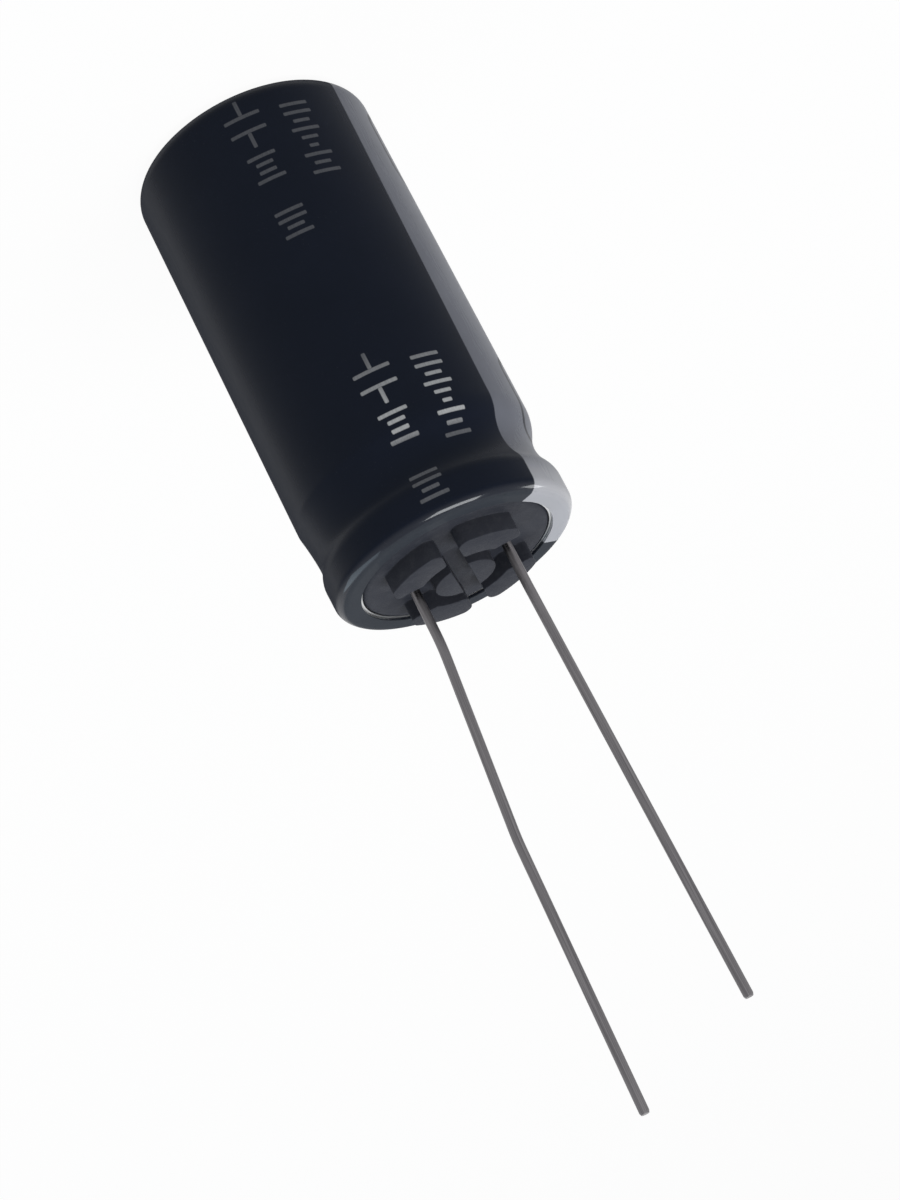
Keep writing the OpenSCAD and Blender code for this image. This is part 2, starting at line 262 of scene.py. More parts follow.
# %% Shared effect: rubbed lines
lines, g_in, g_out = new_group(
    "rubbed_lines", "ShaderNodeTree",
    [("Place", "NodeSocketVector", None), ("Line width", "NodeSocketFloat", 0.04 * mm),
     ("Line length", "NodeSocketFloat", 3 * mm), ("Amount", "NodeSocketFloat", 1.0)],
    [("Mask", "NodeSocketFloat")])
across = calc(lines, "DIVIDE", 1.0, g_in.outputs["Line width"])
along = calc(lines, "DIVIDE", 1.0, g_in.outputs["Line length"])
squeeze = fill(lines, place(lines, "ShaderNodeCombineXYZ"), X=across, Y=across, Z=along)
stretched = place(lines, "ShaderNodeVectorMath", operation="MULTIPLY")
feed(lines, stretched.inputs[0], g_in.outputs["Place"])
feed(lines, stretched.inputs[1], squeeze.outputs[0])
streaks = noise(lines, stretched.outputs[0], 1.0, detail=3.0)
fill(lines, g_out, Mask=calc(lines, "MULTIPLY", streaks, g_in.outputs["Amount"]))
print("group:", lines.name)

# %% Shared effect: uneven skin
skin, g_in, g_out = new_group(
    "uneven_skin", "ShaderNodeTree",
    [("Place", "NodeSocketVector", None), ("Grain size", "NodeSocketFloat", 0.2 * mm),
     ("Wave size", "NodeSocketFloat", 3 * mm), ("Wave share", "NodeSocketFloat", 0.5)],
    [("Height", "NodeSocketFloat"), ("Shade", "NodeSocketFloat")])
grain = noise(skin, g_in.outputs["Place"],
              calc(skin, "DIVIDE", 1.0, g_in.outputs["Grain size"]), detail=4.0)
wave = noise(skin, g_in.outputs["Place"], calc(skin, "DIVIDE", 1.0, g_in.outputs["Wave size"]))
fill(skin, g_out, Height=between(skin, g_in.outputs["Wave share"], grain, wave), Shade=wave)
print("group:", skin.name)

# %% Helpers for finishes
def finish_for(name, **fixed):
    """New material: its tree, its Principled shader with fixed numbers set, and Object places."""
    material = bpy.data.materials.new(name)
    material.use_nodes = True
    tree = material.node_tree
    shader = fill(tree, tree.nodes["Principled BSDF"], **fixed)
    places = place(tree, "ShaderNodeTexCoord").outputs["Object"]
    return material, tree, shader, places

def use_group(tree, group, **sources):
    """Outputs of a group that is placed with its own values."""
    return fill(tree, place(tree, "ShaderNodeGroup", node_tree=group), **sources).outputs

def tint(tree, mask, start, end):
    """Colour that runs from start to end with the mask; either may be another node's colour."""
    node = place(tree, "ShaderNodeMix", data_type="RGBA")
    feed(tree, node.inputs[0], mask)
    for socket, colour in ((node.inputs[6], start), (node.inputs[7], end)):
        feed(tree, socket, colour if isinstance(colour, bpy.types.NodeSocket) else (*colour, 1))
    return node.outputs[2]

def raise_skin(tree, shader, height, depth):
    """Bump of the given depth in metres on the shader's normal."""
    bump = fill(tree, place(tree, "ShaderNodeBump"), Height=height, Strength=1.0, Distance=depth)
    feed(tree, shader.inputs["Normal"], bump.outputs["Normal"])

# %% [markdown]
# ## The shrink sleeve: its shape
# A sleeve is a tube of film, slipped over the can and shrunk with hot air, so it hugs the barrel,
# the rolled groove and the rim, and turns in over both ends. One half section says all of that.
# It could be spun with a Screw modifier, but a small Geometry Nodes lathe has the slight waves of
# shrunk film in the same tree, and its inputs can be turned while looking.

# %% Half section of the film
Bend = namedtuple("Bend", "r z radius")
film_inside, film_outside = 0.02 * mm, 0.16 * mm
corner = Bend(5.45 * mm, 0.96 * mm, 0.8 * mm)
low_shoulder = Bend(4.05 * mm, 19.979 * mm, 2.2 * mm)
groove = Bend(8.3 * mm, 22.21 * mm, 2.6 * mm)
high_shoulder = Bend(5.2 * mm, 24.04 * mm, 1.0 * mm)
rim = Bend(5.73 * mm, 24.94 * mm, 0.47 * mm)
rim_slope = math.radians(3)
turned_in_r, lip_r = 4.85 * mm, 5.11 * mm
corner_steps, barrel_steps, low_steps = 14, 48, 12
groove_steps, high_steps, rim_steps = 20, 10, 18

def arc(bend, grown, start, end, steps):
    """Points along a bend that is grown by some thickness, from one angle to another."""
    radius = bend.radius + grown
    angles = [start + (end - start) * i / steps for i in range(steps + 1)]
    return [(bend.r + radius * math.cos(a), bend.z + radius * math.sin(a)) for a in angles]

def towards(a, b):
    """Direction from one bend's centre to another's, from 0 to a full turn."""
    return math.atan2(b.z - a.z, b.r - a.r) % (2 * math.pi)

def film_skin(grown):
    """One face of the film, from its turned-in edge to its cut edge on the rolled rim."""
    low_dip, high_dip = towards(groove, low_shoulder), towards(groove, high_shoulder)
    points = [(turned_in_r, corner.z - corner.radius - grown)]
    points += arc(corner, grown, -math.pi / 2, 0, corner_steps)
    barrel_r, barrel_length = points[-1][0], low_shoulder.z - corner.z
    points += [(barrel_r, corner.z + barrel_length * i / barrel_steps)
               for i in range(1, barrel_steps)]
    points += arc(low_shoulder, grown, 0, low_dip - math.pi, low_steps)
    points += arc(groove, -grown, low_dip, high_dip, groove_steps)[1:]
    points += arc(high_shoulder, grown, high_dip - math.pi, 0, high_steps)[1:]
    points += arc(rim, grown, 0, math.pi / 2 + rim_slope, rim_steps)
    end_r, end_z = points[-1]
    points.append((lip_r, end_z - (end_r - lip_r) * math.tan(rim_slope)))
    return points

outside, inside = film_skin(film_outside), film_skin(film_inside)
section = outside + inside[::-1]
section.append(section[0])
print("section points:", len(section), "top in mm:", round(max(z for _, z in section) / mm, 3))

# %% [markdown]
# On the anode's side the film of the real part spans the groove instead of hugging it, as film
# does where it cooled first. Each point of the section therefore also stores how far it would lift
# there, and the lathe mixes that in over part of the turn.

# %% Where the film spans the groove
span_foot, span_top, span_dip = 19.6 * mm, 23.4 * mm, 0.30 * mm
span_ease, span_soft = 1.0 * mm, 0.16 * mm
barrel_out = corner.r + corner.radius + film_outside
cut_edge_r = groove.r - groove.radius - film_outside

def spanned(z):
    """Radius of the film's outer face where it spans the groove: a smooth step down."""
    share = min(max((z - span_foot) / (span_top - span_foot), 0), 1)
    return barrel_out - span_dip * share * share * (3 - 2 * share)

def lift_of(r, z, inner):
    """How far the film stands off here; it eases in and out at both ends of the span."""
    if not span_foot < z < rim.z or r < cut_edge_r:
        return 0.0
    depth = film_outside - film_inside if inner else 0.0
    off = spanned(z) - depth - r
    ease = min(1.0, (z - span_foot) / span_ease, (rim.z - z) / span_ease)
    return min(ease * (off + math.hypot(off, span_soft)) / 2, max(barrel_out - depth - r, 0.0))

lifts = [lift_of(r, z, inner=i >= len(outside)) for i, (r, z) in enumerate(section)]
section_mesh = bpy.data.meshes.new("film_section")
section_mesh.from_pydata([(r, 0, z) for r, z in section],
                         [(i, i + 1) for i in range(len(section) - 1)], [])
section_mesh.attributes.new("lift", "FLOAT", "POINT").data.foreach_set("value", lifts)
print("film lifts by up to mm:", round(max(lifts) / mm, 3))

# %% [markdown]
# The lathe lays a flat grid out first: each row of it is one point of the section, and each column
# is one step round. Then it moves every grid point to its place on the turned shape.

# %% Lathe tree: where each grid point goes
lathe, g_in, g_out = new_group(
    "film_lathe", "GeometryNodeTree",
    [("Geometry", "NodeSocketGeometry", None), ("Steps round", "NodeSocketInt", 256),
     ("Span full within", "NodeSocketFloat", 65.0), ("Span gone past", "NodeSocketFloat", 110.0),
     ("Wave height", "NodeSocketFloat", 0.0), ("Wave length", "NodeSocketFloat", 0.004),
     ("Seed", "NodeSocketInt", 3), ("Finish", "NodeSocketMaterial", None)],
    [("Geometry", "NodeSocketGeometry")])
count = place(lathe, "GeometryNodeAttributeDomainSize", component="MESH")
fill(lathe, count, Geometry=g_in.outputs["Geometry"])
across_steps = calc(lathe, "ADD", g_in.outputs["Steps round"], 1)
grid = fill(lathe, place(lathe, "GeometryNodeMeshGrid"),
            Vertices_X=count.outputs["Point Count"], Vertices_Y=across_steps)
index = place(lathe, "GeometryNodeInputIndex").outputs[0]
row = calc(lathe, "FLOOR", calc(lathe, "DIVIDE", index, across_steps))
column = calc(lathe, "MODULO", index, across_steps)
turn = calc(lathe, "MULTIPLY", calc(lathe, "DIVIDE", column, g_in.outputs["Steps round"]),
            2 * math.pi)
turn_cos = calc(lathe, "COSINE", turn)

def from_section(value, data_type):
    """A value of the section at the grid point's row."""
    sample = place(lathe, "GeometryNodeSampleIndex", data_type=data_type, domain="POINT")
    fill(lathe, sample, Geometry=g_in.outputs["Geometry"], Value=value, Index=row)
    return sample.outputs["Value"]

stored_lift = place(lathe, "GeometryNodeInputNamedAttribute", data_type="FLOAT")
lift = from_section(fill(lathe, stored_lift, Name="lift").outputs["Attribute"], "FLOAT")
span_limits = [calc(lathe, "COSINE", calc(lathe, "RADIANS", g_in.outputs[title]))
               for title in ("Span gone past", "Span full within")]
span = spread(lathe, turn_cos, *span_limits, soft=True)
position = place(lathe, "GeometryNodeInputPosition").outputs[0]
spot = fill(lathe, place(lathe, "ShaderNodeSeparateXYZ"),
            Vector=from_section(position, "FLOAT_VECTOR")).outputs
radius = calc(lathe, "ADD", spot["X"], calc(lathe, "MULTIPLY", lift, span))
spun = fill(lathe, place(lathe, "ShaderNodeCombineXYZ"),
            X=calc(lathe, "MULTIPLY", radius, turn_cos),
            Y=calc(lathe, "MULTIPLY", radius, calc(lathe, "SINE", turn)), Z=spot["Z"])
print("lathe nodes so far:", len(lathe.nodes))

# %% Lathe tree: weld, waves and finish
weld_distance = 1e-7
shaped = fill(lathe, place(lathe, "GeometryNodeSetPosition"),
              Geometry=grid.outputs["Mesh"], Position=spun.outputs[0])
welded = fill(lathe, place(lathe, "GeometryNodeMergeByDistance"),
              Geometry=shaped.outputs[0], Distance=weld_distance)
outward = fill(lathe, place(lathe, "GeometryNodeFlipFaces"), Mesh=welded.outputs[0])
waves = fill(lathe, place(lathe, "ShaderNodeTexNoise", noise_dimensions="4D"),
             W=g_in.outputs["Seed"], Scale=calc(lathe, "DIVIDE", 1.0, g_in.outputs["Wave length"]))
dent = calc(lathe, "MULTIPLY", calc(lathe, "SUBTRACT", waves.outputs["Fac"], 1.0),
            g_in.outputs["Wave height"])
inwards = place(lathe, "ShaderNodeVectorMath", operation="SCALE")
feed(lathe, inwards.inputs[0], place(lathe, "GeometryNodeInputNormal").outputs[0])
feed(lathe, inwards.inputs["Scale"], dent)
waved = fill(lathe, place(lathe, "GeometryNodeSetPosition"),
             Geometry=outward.outputs[0], Offset=inwards.outputs[0])
smooth = fill(lathe, place(lathe, "GeometryNodeSetShadeSmooth"), Geometry=waved.outputs[0])

def end_dressed(tree, geometry, group_input, group_output):
    """Ends a tree that makes a piece: plain mesh, then the finish that was asked for."""
    real = fill(tree, place(tree, "GeometryNodeRealizeInstances"), Geometry=geometry)
    dressed = fill(tree, place(tree, "GeometryNodeSetMaterial"), Geometry=real.outputs[0],
                   Material=group_input.outputs["Finish"])
    fill(tree, group_output, Geometry=dressed.outputs[0])
    print(tree.name, "nodes:", len(tree.nodes))

end_dressed(lathe, smooth.outputs[0], g_in, g_out)

# %% [markdown]
# A tree only becomes a plain mesh when it is evaluated. The helper below sets the tree's inputs by
# their identifiers, evaluates it once, keeps the result and throws the modifier away.

# %% Evaluate a tree into a plain mesh
def link_piece(name, mesh):
    """New object of a mesh, linked to the scene."""
    piece = bpy.data.objects.new(name, mesh)
    scene.collection.objects.link(piece)
    return piece

def mesh_as_seen(piece):
    """Plain mesh of an object with its modifiers applied."""
    bpy.context.view_layer.update()
    return bpy.data.meshes.new_from_object(
        piece.evaluated_get(bpy.context.evaluated_depsgraph_get()))

def made_by(tree, base_mesh, name, **values):
    """Piece that a tree makes of a base mesh, with some of the tree's inputs set."""
    maker = link_piece(name + "_maker", base_mesh)
    modifier = maker.modifiers.new("tree", "NODES")
    modifier.node_group = tree
    named = {item.name: item.identifier for item in tree.interface.items_tree
             if item.item_type == "SOCKET" and item.in_out == "INPUT"}
    for title, value in values.items():
        modifier[named[title.replace("_", " ")]] = value
    mesh = mesh_as_seen(maker)
    mesh.name = name
    bpy.data.objects.remove(maker)
    return link_piece(name, mesh)

def face_outwards(mesh, sharp):
    """Turns the faces outwards, and marks edges sharper than the given angle, in degrees."""
    bm = bmesh.new()
    bm.from_mesh(mesh)
    bmesh.ops.recalc_face_normals(bm, faces=bm.faces)
    volume = bm.calc_volume(signed=True) / mm ** 3
    open_edges = sum(1 for e in bm.edges if len(e.link_faces) != 2)
    bm.to_mesh(mesh)
    bm.free()
    mesh.shade_smooth()
    mesh.set_sharp_from_angle(angle=math.radians(sharp))
    print(f"{mesh.name}: {len(mesh.polygons)} faces, {volume:.1f} mm3, open edges {open_edges}")

# %% [markdown]
# ## The shrink sleeve: its finish
# The film is a glossy navy-black plastic, printed before it is shrunk: a grey stripe marks the
# minus side, with long rounded minus marks in it, and small grey marks run up the front. The marks
# are plain bars here. All print is placed by its height and by its distance round the can, so it
# follows the film. One small group draws a bar with round corners, and every mark is that group.

# %% Group: one printed bar
ink_edge = 0.04
bar, g_in, g_out = new_group(
    "printed_bar", "ShaderNodeTree",
    [("Round", "NodeSocketFloat", 0.0), ("Height", "NodeSocketFloat", 0.0),
     ("Middle round", "NodeSocketFloat", 0.0), ("Middle height", "NodeSocketFloat", 0.0),
     ("Half width", "NodeSocketFloat", 1.0), ("Half length", "NodeSocketFloat", 1.0),
     ("Corner", "NodeSocketFloat", 0.1), ("Line", "NodeSocketFloat", 0.0)],
    [("Mask", "NodeSocketFloat")])

def inked(distance):
    """Mask that falls from 1 to 0 across the soft edge of an inked shape."""
    return calc(bar, "SUBTRACT", 0.5, calc(bar, "DIVIDE", distance, ink_edge))

beyond = []
for value, middle, half in (("Round", "Middle round", "Half width"),
                            ("Height", "Middle height", "Half length")):
    off = calc(bar, "ABSOLUTE", calc(bar, "SUBTRACT", g_in.outputs[value], g_in.outputs[middle]))
    core = calc(bar, "SUBTRACT", g_in.outputs[half], g_in.outputs["Corner"])
    beyond.append(calc(bar, "SUBTRACT", off, core))
outer = [calc(bar, "POWER", calc(bar, "MAXIMUM", b, 0.0), 2.0) for b in beyond]
outer_d = calc(bar, "SQRT", calc(bar, "ADD", *outer))
inner_d = calc(bar, "MINIMUM", calc(bar, "MAXIMUM", *beyond), 0.0)
edge_d = calc(bar, "SUBTRACT", calc(bar, "ADD", outer_d, inner_d), g_in.outputs["Corner"])
half_line = calc(bar, "MULTIPLY", g_in.outputs["Line"], 0.5)
off_line = calc(bar, "ABSOLUTE", calc(bar, "ADD", edge_d, half_line))
ring_d = calc(bar, "SUBTRACT", off_line, half_line)
lined = calc(bar, "GREATER_THAN", g_in.outputs["Line"], 0.0)
held = fill(bar, place(bar, "ShaderNodeClamp"), Value=between(bar, lined, inked(edge_d), inked(ring_d)))
fill(bar, g_out, Mask=held.outputs[0])
print("group:", bar.name)

# %% Where the print goes, in mm up and round the film
print_repeat = 15.6
stripe_end_z, stripe_half_foot, stripe_half_top, stripe_edge = 19.5, 32.0, 36.2, 0.3
barrel_mm = barrel_out / mm

film_mat, tree, shader, places = finish_for(
    "sleeve_film", Specular_IOR_Level=0.07, Specular_Tint=(0.80, 0.92, 1.0, 1),
    Coat_Roughness=0.08, Coat_IOR=1.4)
spot = fill(tree, place(tree, "ShaderNodeSeparateXYZ"), Vector=places).outputs
towards_stripe = calc(tree, "MULTIPLY", spot["X"], -1.0)
from_stripe = calc(tree, "DEGREES", calc(tree, "ARCTAN2", spot["Y"], towards_stripe))
round_mm = calc(tree, "MULTIPLY", from_stripe, math.radians(barrel_mm))
height = calc(tree, "DIVIDE", spot["Z"], mm)
printed_z = calc(tree, "MODULO", calc(tree, "ADD", height, 2 * print_repeat), print_repeat)

stripe_half = spread(tree, height, 0.0, stripe_end_z, stripe_half_foot, stripe_half_top)
inside_stripe = calc(tree, "SUBTRACT", stripe_half, calc(tree, "ABSOLUTE", from_stripe))
stripe = spread(tree, inside_stripe, -stripe_edge, stripe_edge)
print("print repeats every mm:", print_repeat)

# %% Printed bars
Bar = namedtuple("Bar", "round height width length corner line")
stroke, stroke_corner, front_gap, side_gap = 0.2, 0.06, 0.26, 0.33
wide, middling, narrow = 1.5, 0.9, 0.5
front_at, side_at = (math.radians(angle) * barrel_mm for angle in (-84, -59.5))

def marks(tree, bars, round_from, height_from):
    """Mask of several bars."""
    total = 0.0
    for b in bars:
        mask = use_group(tree, bar, Round=round_from, Height=height_from, Middle_round=b.round,
                         Middle_height=b.height, Half_width=b.width / 2, Half_length=b.length / 2,
                         Corner=b.corner, Line=b.line)["Mask"]
        total = calc(tree, "MAXIMUM", total, mask)
    return total

def bar_across(at_round, at_height, width):
    return Bar(at_round, at_height, width, stroke, stroke_corner, 0)

def bar_along(at_round, at_height, length):
    return Bar(at_round, at_height, stroke, length, stroke_corner, 0)

def row_of_bars(at_round, start, widths, gap):
    """Bars across the reading direction, one after another up the can."""
    return [bar_across(at_round, start + i * (stroke + gap), w) for i, w in enumerate(widths)]

minus_bar = Bar(round=0, height=3.9, width=2.9, length=4.8, corner=1.2, line=0.30)
minus_marks = marks(tree, [minus_bar], round_mm, printed_z)

front_row = [bar_across(front_at, z, 1.9) for z in (1.75, 2.65)]
front_row += [bar_along(front_at, z, middling) for z in (1.20, 3.20)]
front_row += row_of_bars(front_at, 4.2, (wide, middling, middling, wide), front_gap)
front_row += row_of_bars(front_at, 7.6, (wide, wide, middling, wide), front_gap)
side_row = row_of_bars(side_at, 1.9, (wide, wide, middling, wide, middling, narrow, wide,
                                      middling, wide), side_gap)
either_side = calc(tree, "MULTIPLY", calc(tree, "ABSOLUTE", round_mm), -1.0)
ink = marks(tree, front_row + side_row, either_side, printed_z)
print("printed bars:", len(front_row) + len(side_row))

# %% [markdown]
# Over the rim the stripe is painted paler, a painted highlight where the rim's top faces the lamp,
# and its skin is shinier. Just under the groove the ink is painted brighter, a painted glint. The
# rim's flat crown is painted lighter, a painted sheen broken by rubbed lines, and its gloss is rough.
# Heights in the next two cells are in mm, and each pair of heights is where an effect starts and
# where it is full.

# %% Colours of the film
film_tones = (0.0046, 0.0064, 0.0130), (0.0060, 0.0082, 0.0164)
stripe_tones = (0.104, 0.110, 0.133), (0.138, 0.145, 0.170)
# The lighter of the two ink tones is a painted glint, used just under the groove.
ink_and_glint_tones = (0.075, 0.078, 0.088), (0.36, 0.37, 0.38)
# The pale stripe tone for the rim is a painted highlight; the lighter film tone for the crown is a
# painted sheen.
painted_rim_highlight, painted_crown_sheen, film_dust = (0.33, 0.335, 0.36), (0.030, 0.034, 0.041), (0.30, 0.30, 0.31)
rim_highlight_z, ink_glint_z, ink_glint_end_z, crown_z = (23.0, 25.3), (15.5, 20.0), (20.6, 21.6), (25.43, 25.52)
ink_glint_on_rim, ink_least, crown_sheen_least = 0.1, 0.75, 0.6
ink_rub, crown_sheen_rub = (0.25, 0.6), (0.2, 0.8)

skin_out = use_group(tree, skin, Place=places, Grain_size=0.12 * mm, Wave_size=2.5 * mm, Wave_share=0.85)
dust_out = use_group(tree, dust, Place=places, Speck_size=0.25 * mm, Amount=0.04)
rubbed = use_group(tree, lines, Place=places, Line_width=0.05 * mm, Line_length=1.2 * mm)["Mask"]
film_tone = tint(tree, skin_out["Shade"], *film_tones)
# Stripe painted paler over the rim: a painted highlight where the rim's top faces the lamp.
rim_highlight_mask = spread(tree, height, *rim_highlight_z, soft=True)
stripe_tone = tint(tree, rim_highlight_mask, tint(tree, skin_out["Shade"], *stripe_tones), painted_rim_highlight)
# Ink painted brighter just under the groove, fading on the rim: a painted glint.
ink_glint_mask = calc(tree, "MULTIPLY", spread(tree, height, *ink_glint_z, soft=True),
             spread(tree, height, *ink_glint_end_z, 1.0, ink_glint_on_rim, soft=True))
worn_ink = calc(tree, "MULTIPLY", ink, spread(tree, rubbed, *ink_rub, ink_least, 1.0))
printed = tint(tree, worn_ink, film_tone, tint(tree, ink_glint_mask, *ink_and_glint_tones))
crown = spread(tree, height, *crown_z, soft=True)
# Crown painted lighter, broken by rubbed lines: a painted sheen on the rim's up-facing top.
crown_sheen_mask = calc(tree, "MULTIPLY", crown, spread(tree, rubbed, *crown_sheen_rub, crown_sheen_least, 1.0))
striped = tint(tree, stripe, tint(tree, crown_sheen_mask, printed, painted_crown_sheen), stripe_tone)
marked = tint(tree, calc(tree, "MULTIPLY", minus_marks, stripe), striped, film_tone)
fill(tree, shader, Base_Color=tint(tree, dust_out["Mask"], marked, film_dust))
print("film tones:", film_tones)

# %% Gloss of the film
film_rough, crown_rough, film_bump = (0.16, 0.24), 0.7, 0.012 * mm
glance, haze_most, haze_on_stripe = (0.45, 0.85), 0.55, 0.3
shine_z, shine_most, crown_shine = (25.12, 25.36), 0.6, 0.08

facing = place(tree, "ShaderNodeLayerWeight").outputs["Facing"]
haze = calc(tree, "MULTIPLY", spread(tree, facing, *glance, 0.0, haze_most),
            spread(tree, stripe, 0.0, 1.0, 1.0, haze_on_stripe))
satin = calc(tree, "ADD", spread(tree, rubbed, noise_low, noise_high, *film_rough), haze)
shine = calc(tree, "MULTIPLY", spread(tree, height, *shine_z, 0.0, shine_most, soft=True),
             spread(tree, height, *crown_z, 1.0, crown_shine, soft=True))
fill(tree, shader, Coat_Weight=shine,
     Roughness=calc(tree, "MAXIMUM", satin, calc(tree, "MULTIPLY", crown, crown_rough)))
raise_skin(tree, shader, skin_out["Height"], film_bump)
print("film roughness:", film_rough, "more at a glance; coat on the rim up to:", shine_most)

# %% Sleeve in place
sleeve = made_by(lathe, section_mesh, "shrink_sleeve", Steps_round=224, Wave_height=0.012 * mm,
                 Wave_length=5 * mm, Seed=3, Finish=film_mat)
face_outwards(sleeve.data, sharp=40)
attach(sleeve, "root")
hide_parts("sleeve")

# %% [markdown]
# ## The rubber seal
# The seal is moulded butyl rubber, and a mould never leaves a knife edge: every raised pad has a
# small rounded rim. The solid has the pads, the channel and the terminal holes already, so a copy
# of it is merged, its flat faces are joined, and the edges between flats and walls get a bevel.

# %% Seal with moulded edges
seal_face_z, relief_r, height_slack = 25.47 * mm, 4.5 * mm, 0.01 * mm
wall_most_flat, flat_least_flat = 0.3, 0.9
mould_edge, mould_edge_steps = 0.11 * mm, 3

def flat_copy(node, name):
    """Own piece of a CAD node: doubles merged and coplanar triangles joined."""
    mesh = nodes[node].data.copy()
    bm = bmesh.new()
    bm.from_mesh(mesh)
    bmesh.ops.remove_doubles(bm, verts=bm.verts, dist=weld_distance)
    bmesh.ops.dissolve_limit(bm, angle_limit=math.radians(0.5), verts=bm.verts, edges=bm.edges)
    bm.to_mesh(mesh)
    bm.free()
    return link_piece(name, mesh)

def is_moulded(edge):
    """True for an edge between a flat and a wall of the raised relief on the seal's face."""
    if len(edge.link_faces) != 2:
        return False
    wall, flat = sorted(abs(face.normal.z) for face in edge.link_faces)
    low = min(v.co.z for v in edge.verts)
    far = max(math.hypot(v.co.x, v.co.y) for v in edge.verts)
    return (wall < wall_most_flat and flat > flat_least_flat
            and low > seal_face_z - height_slack and far < relief_r)

seal = flat_copy("rubber_seal", "moulded_seal")
bm = bmesh.new()
bm.from_mesh(seal.data)
weight = bm.edges.layers.float.new("bevel_weight_edge")
moulded = [edge for edge in bm.edges if is_moulded(edge)]
print("rounded edges:", len(moulded))
for edge in moulded:
    edge[weight] = 1.0
bm.to_mesh(seal.data)
bm.free()
rounding = seal.modifiers.new("moulded_edges", "BEVEL")
rounding.limit_method = "WEIGHT"
rounding.width = mould_edge
rounding.segments = mould_edge_steps
rounding.use_clamp_overlap = True
seal_mesh = mesh_as_seen(seal)
seal_mesh.name = "moulded_seal"
seal.modifiers.clear()
seal.data = seal_mesh

# %% Rubber
rubber_tones, rubber_bloom = ((0.017, 0.019, 0.026), (0.027, 0.029, 0.037)), (0.055, 0.058, 0.066)
rubber_dust, rubber_rough, rubber_bump = (0.25, 0.25, 0.25), (0.5, 0.7), 0.02 * mm
bloom_patch, bloom_most = (0.5, 0.8), 0.3

rubber_mat, tree, shader, places = finish_for("seal_rubber", Specular_IOR_Level=0.1)
skin_out = use_group(tree, skin, Place=places, Grain_size=0.09 * mm, Wave_size=1.6 * mm, Wave_share=0.25)
dust_out = use_group(tree, dust, Place=places, Speck_size=0.22 * mm, Amount=0.12)
bloom_out = use_group(tree, lines, Place=places, Line_width=0.4 * mm, Line_length=0.4 * mm)
bloomed = tint(tree, spread(tree, bloom_out["Mask"], *bloom_patch, 0.0, bloom_most),
               tint(tree, skin_out["Shade"], *rubber_tones), rubber_bloom)
fill(tree, shader, Base_Color=tint(tree, dust_out["Mask"], bloomed, rubber_dust),
     Roughness=spread(tree, skin_out["Height"], noise_low, noise_high, *rubber_rough))
raise_skin(tree, shader, skin_out["Height"], rubber_bump)

seal_mesh.materials.clear()
seal_mesh.materials.append(rubber_mat)
face_outwards(seal_mesh, sharp=50)
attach(seal, "root")
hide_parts("rubber_seal")

# %% [markdown]
# ## The tinned wires
# The wires are drawn steel or copper with a tin coat, and drawing leaves fine marks along them. A
# wire is a circle swept along a path, which is what Curve to Mesh does. The tree also stores each
# point's place on the straight wire, so the draw marks bend with it.

# %% Sweep tree for a wire
wire_r, weld_r = 0.25 * mm, 0.5 * mm
sweep, g_in, g_out = new_group(
    "wire_sweep", "GeometryNodeTree",
    [("Geometry", "NodeSocketGeometry", None), ("Steps round", "NodeSocketInt", 32),
     ("Finish", "NodeSocketMaterial", None)],
    [("Geometry", "NodeSocketGeometry")])

def captured(curve, name, kind, value):
    """Curve whose points keep a value under a name, for use after the sweep."""
    node = place(sweep, "GeometryNodeCaptureAttribute", domain="POINT")
    node.capture_items.new(kind, name)
    feed(sweep, node.inputs[name], value)
    return fill(sweep, node, Geometry=curve).outputs

stored_girth = place(sweep, "GeometryNodeInputNamedAttribute", data_type="FLOAT")
girth = fill(sweep, stored_girth, Name="girth").outputs["Attribute"]
path = fill(sweep, place(sweep, "GeometryNodeMeshToCurve"), Mesh=g_in.outputs["Geometry"])
sized = fill(sweep, place(sweep, "GeometryNodeSetCurveRadius"),
             Curve=path.outputs["Curve"], Radius=girth)
length_here = place(sweep, "GeometryNodeSplineParameter").outputs["Length"]
along = captured(sized.outputs["Curve"], "Along", "FLOAT", length_here)
circle = fill(sweep, place(sweep, "GeometryNodeCurvePrimitiveCircle", mode="RADIUS"),
              Resolution=g_in.outputs["Steps round"], Radius=1.0)
circle_place = place(sweep, "GeometryNodeInputPosition").outputs[0]
around = captured(circle.outputs["Curve"], "Around", "VECTOR", circle_place)
tube = fill(sweep, place(sweep, "GeometryNodeCurveToMesh"), Curve=along["Geometry"],
            Profile_Curve=around["Geometry"], Scale=girth, Fill_Caps=True)
spot = fill(sweep, place(sweep, "ShaderNodeSeparateXYZ"), Vector=around["Around"]).outputs
laid = fill(sweep, place(sweep, "ShaderNodeCombineXYZ"),
            X=calc(sweep, "MULTIPLY", spot["X"], wire_r),
            Y=calc(sweep, "MULTIPLY", spot["Y"], wire_r), Z=along["Along"])
stored = fill(sweep, place(sweep, "GeometryNodeStoreNamedAttribute", data_type="FLOAT_VECTOR",
                           domain="POINT"),
              Geometry=tube.outputs["Mesh"], Name="wire_lay", Value=laid.outputs[0])
end_dressed(sweep, stored.outputs[0], g_in, g_out)

# %% [markdown]
# Wire, can, tabs and roll paper are all drawn, pressed or fibrous stock: fine lines show in their
# colour and relief, and their gloss is slightly uneven. One function makes that finish, and each
# material gives it its own sizes and tones.

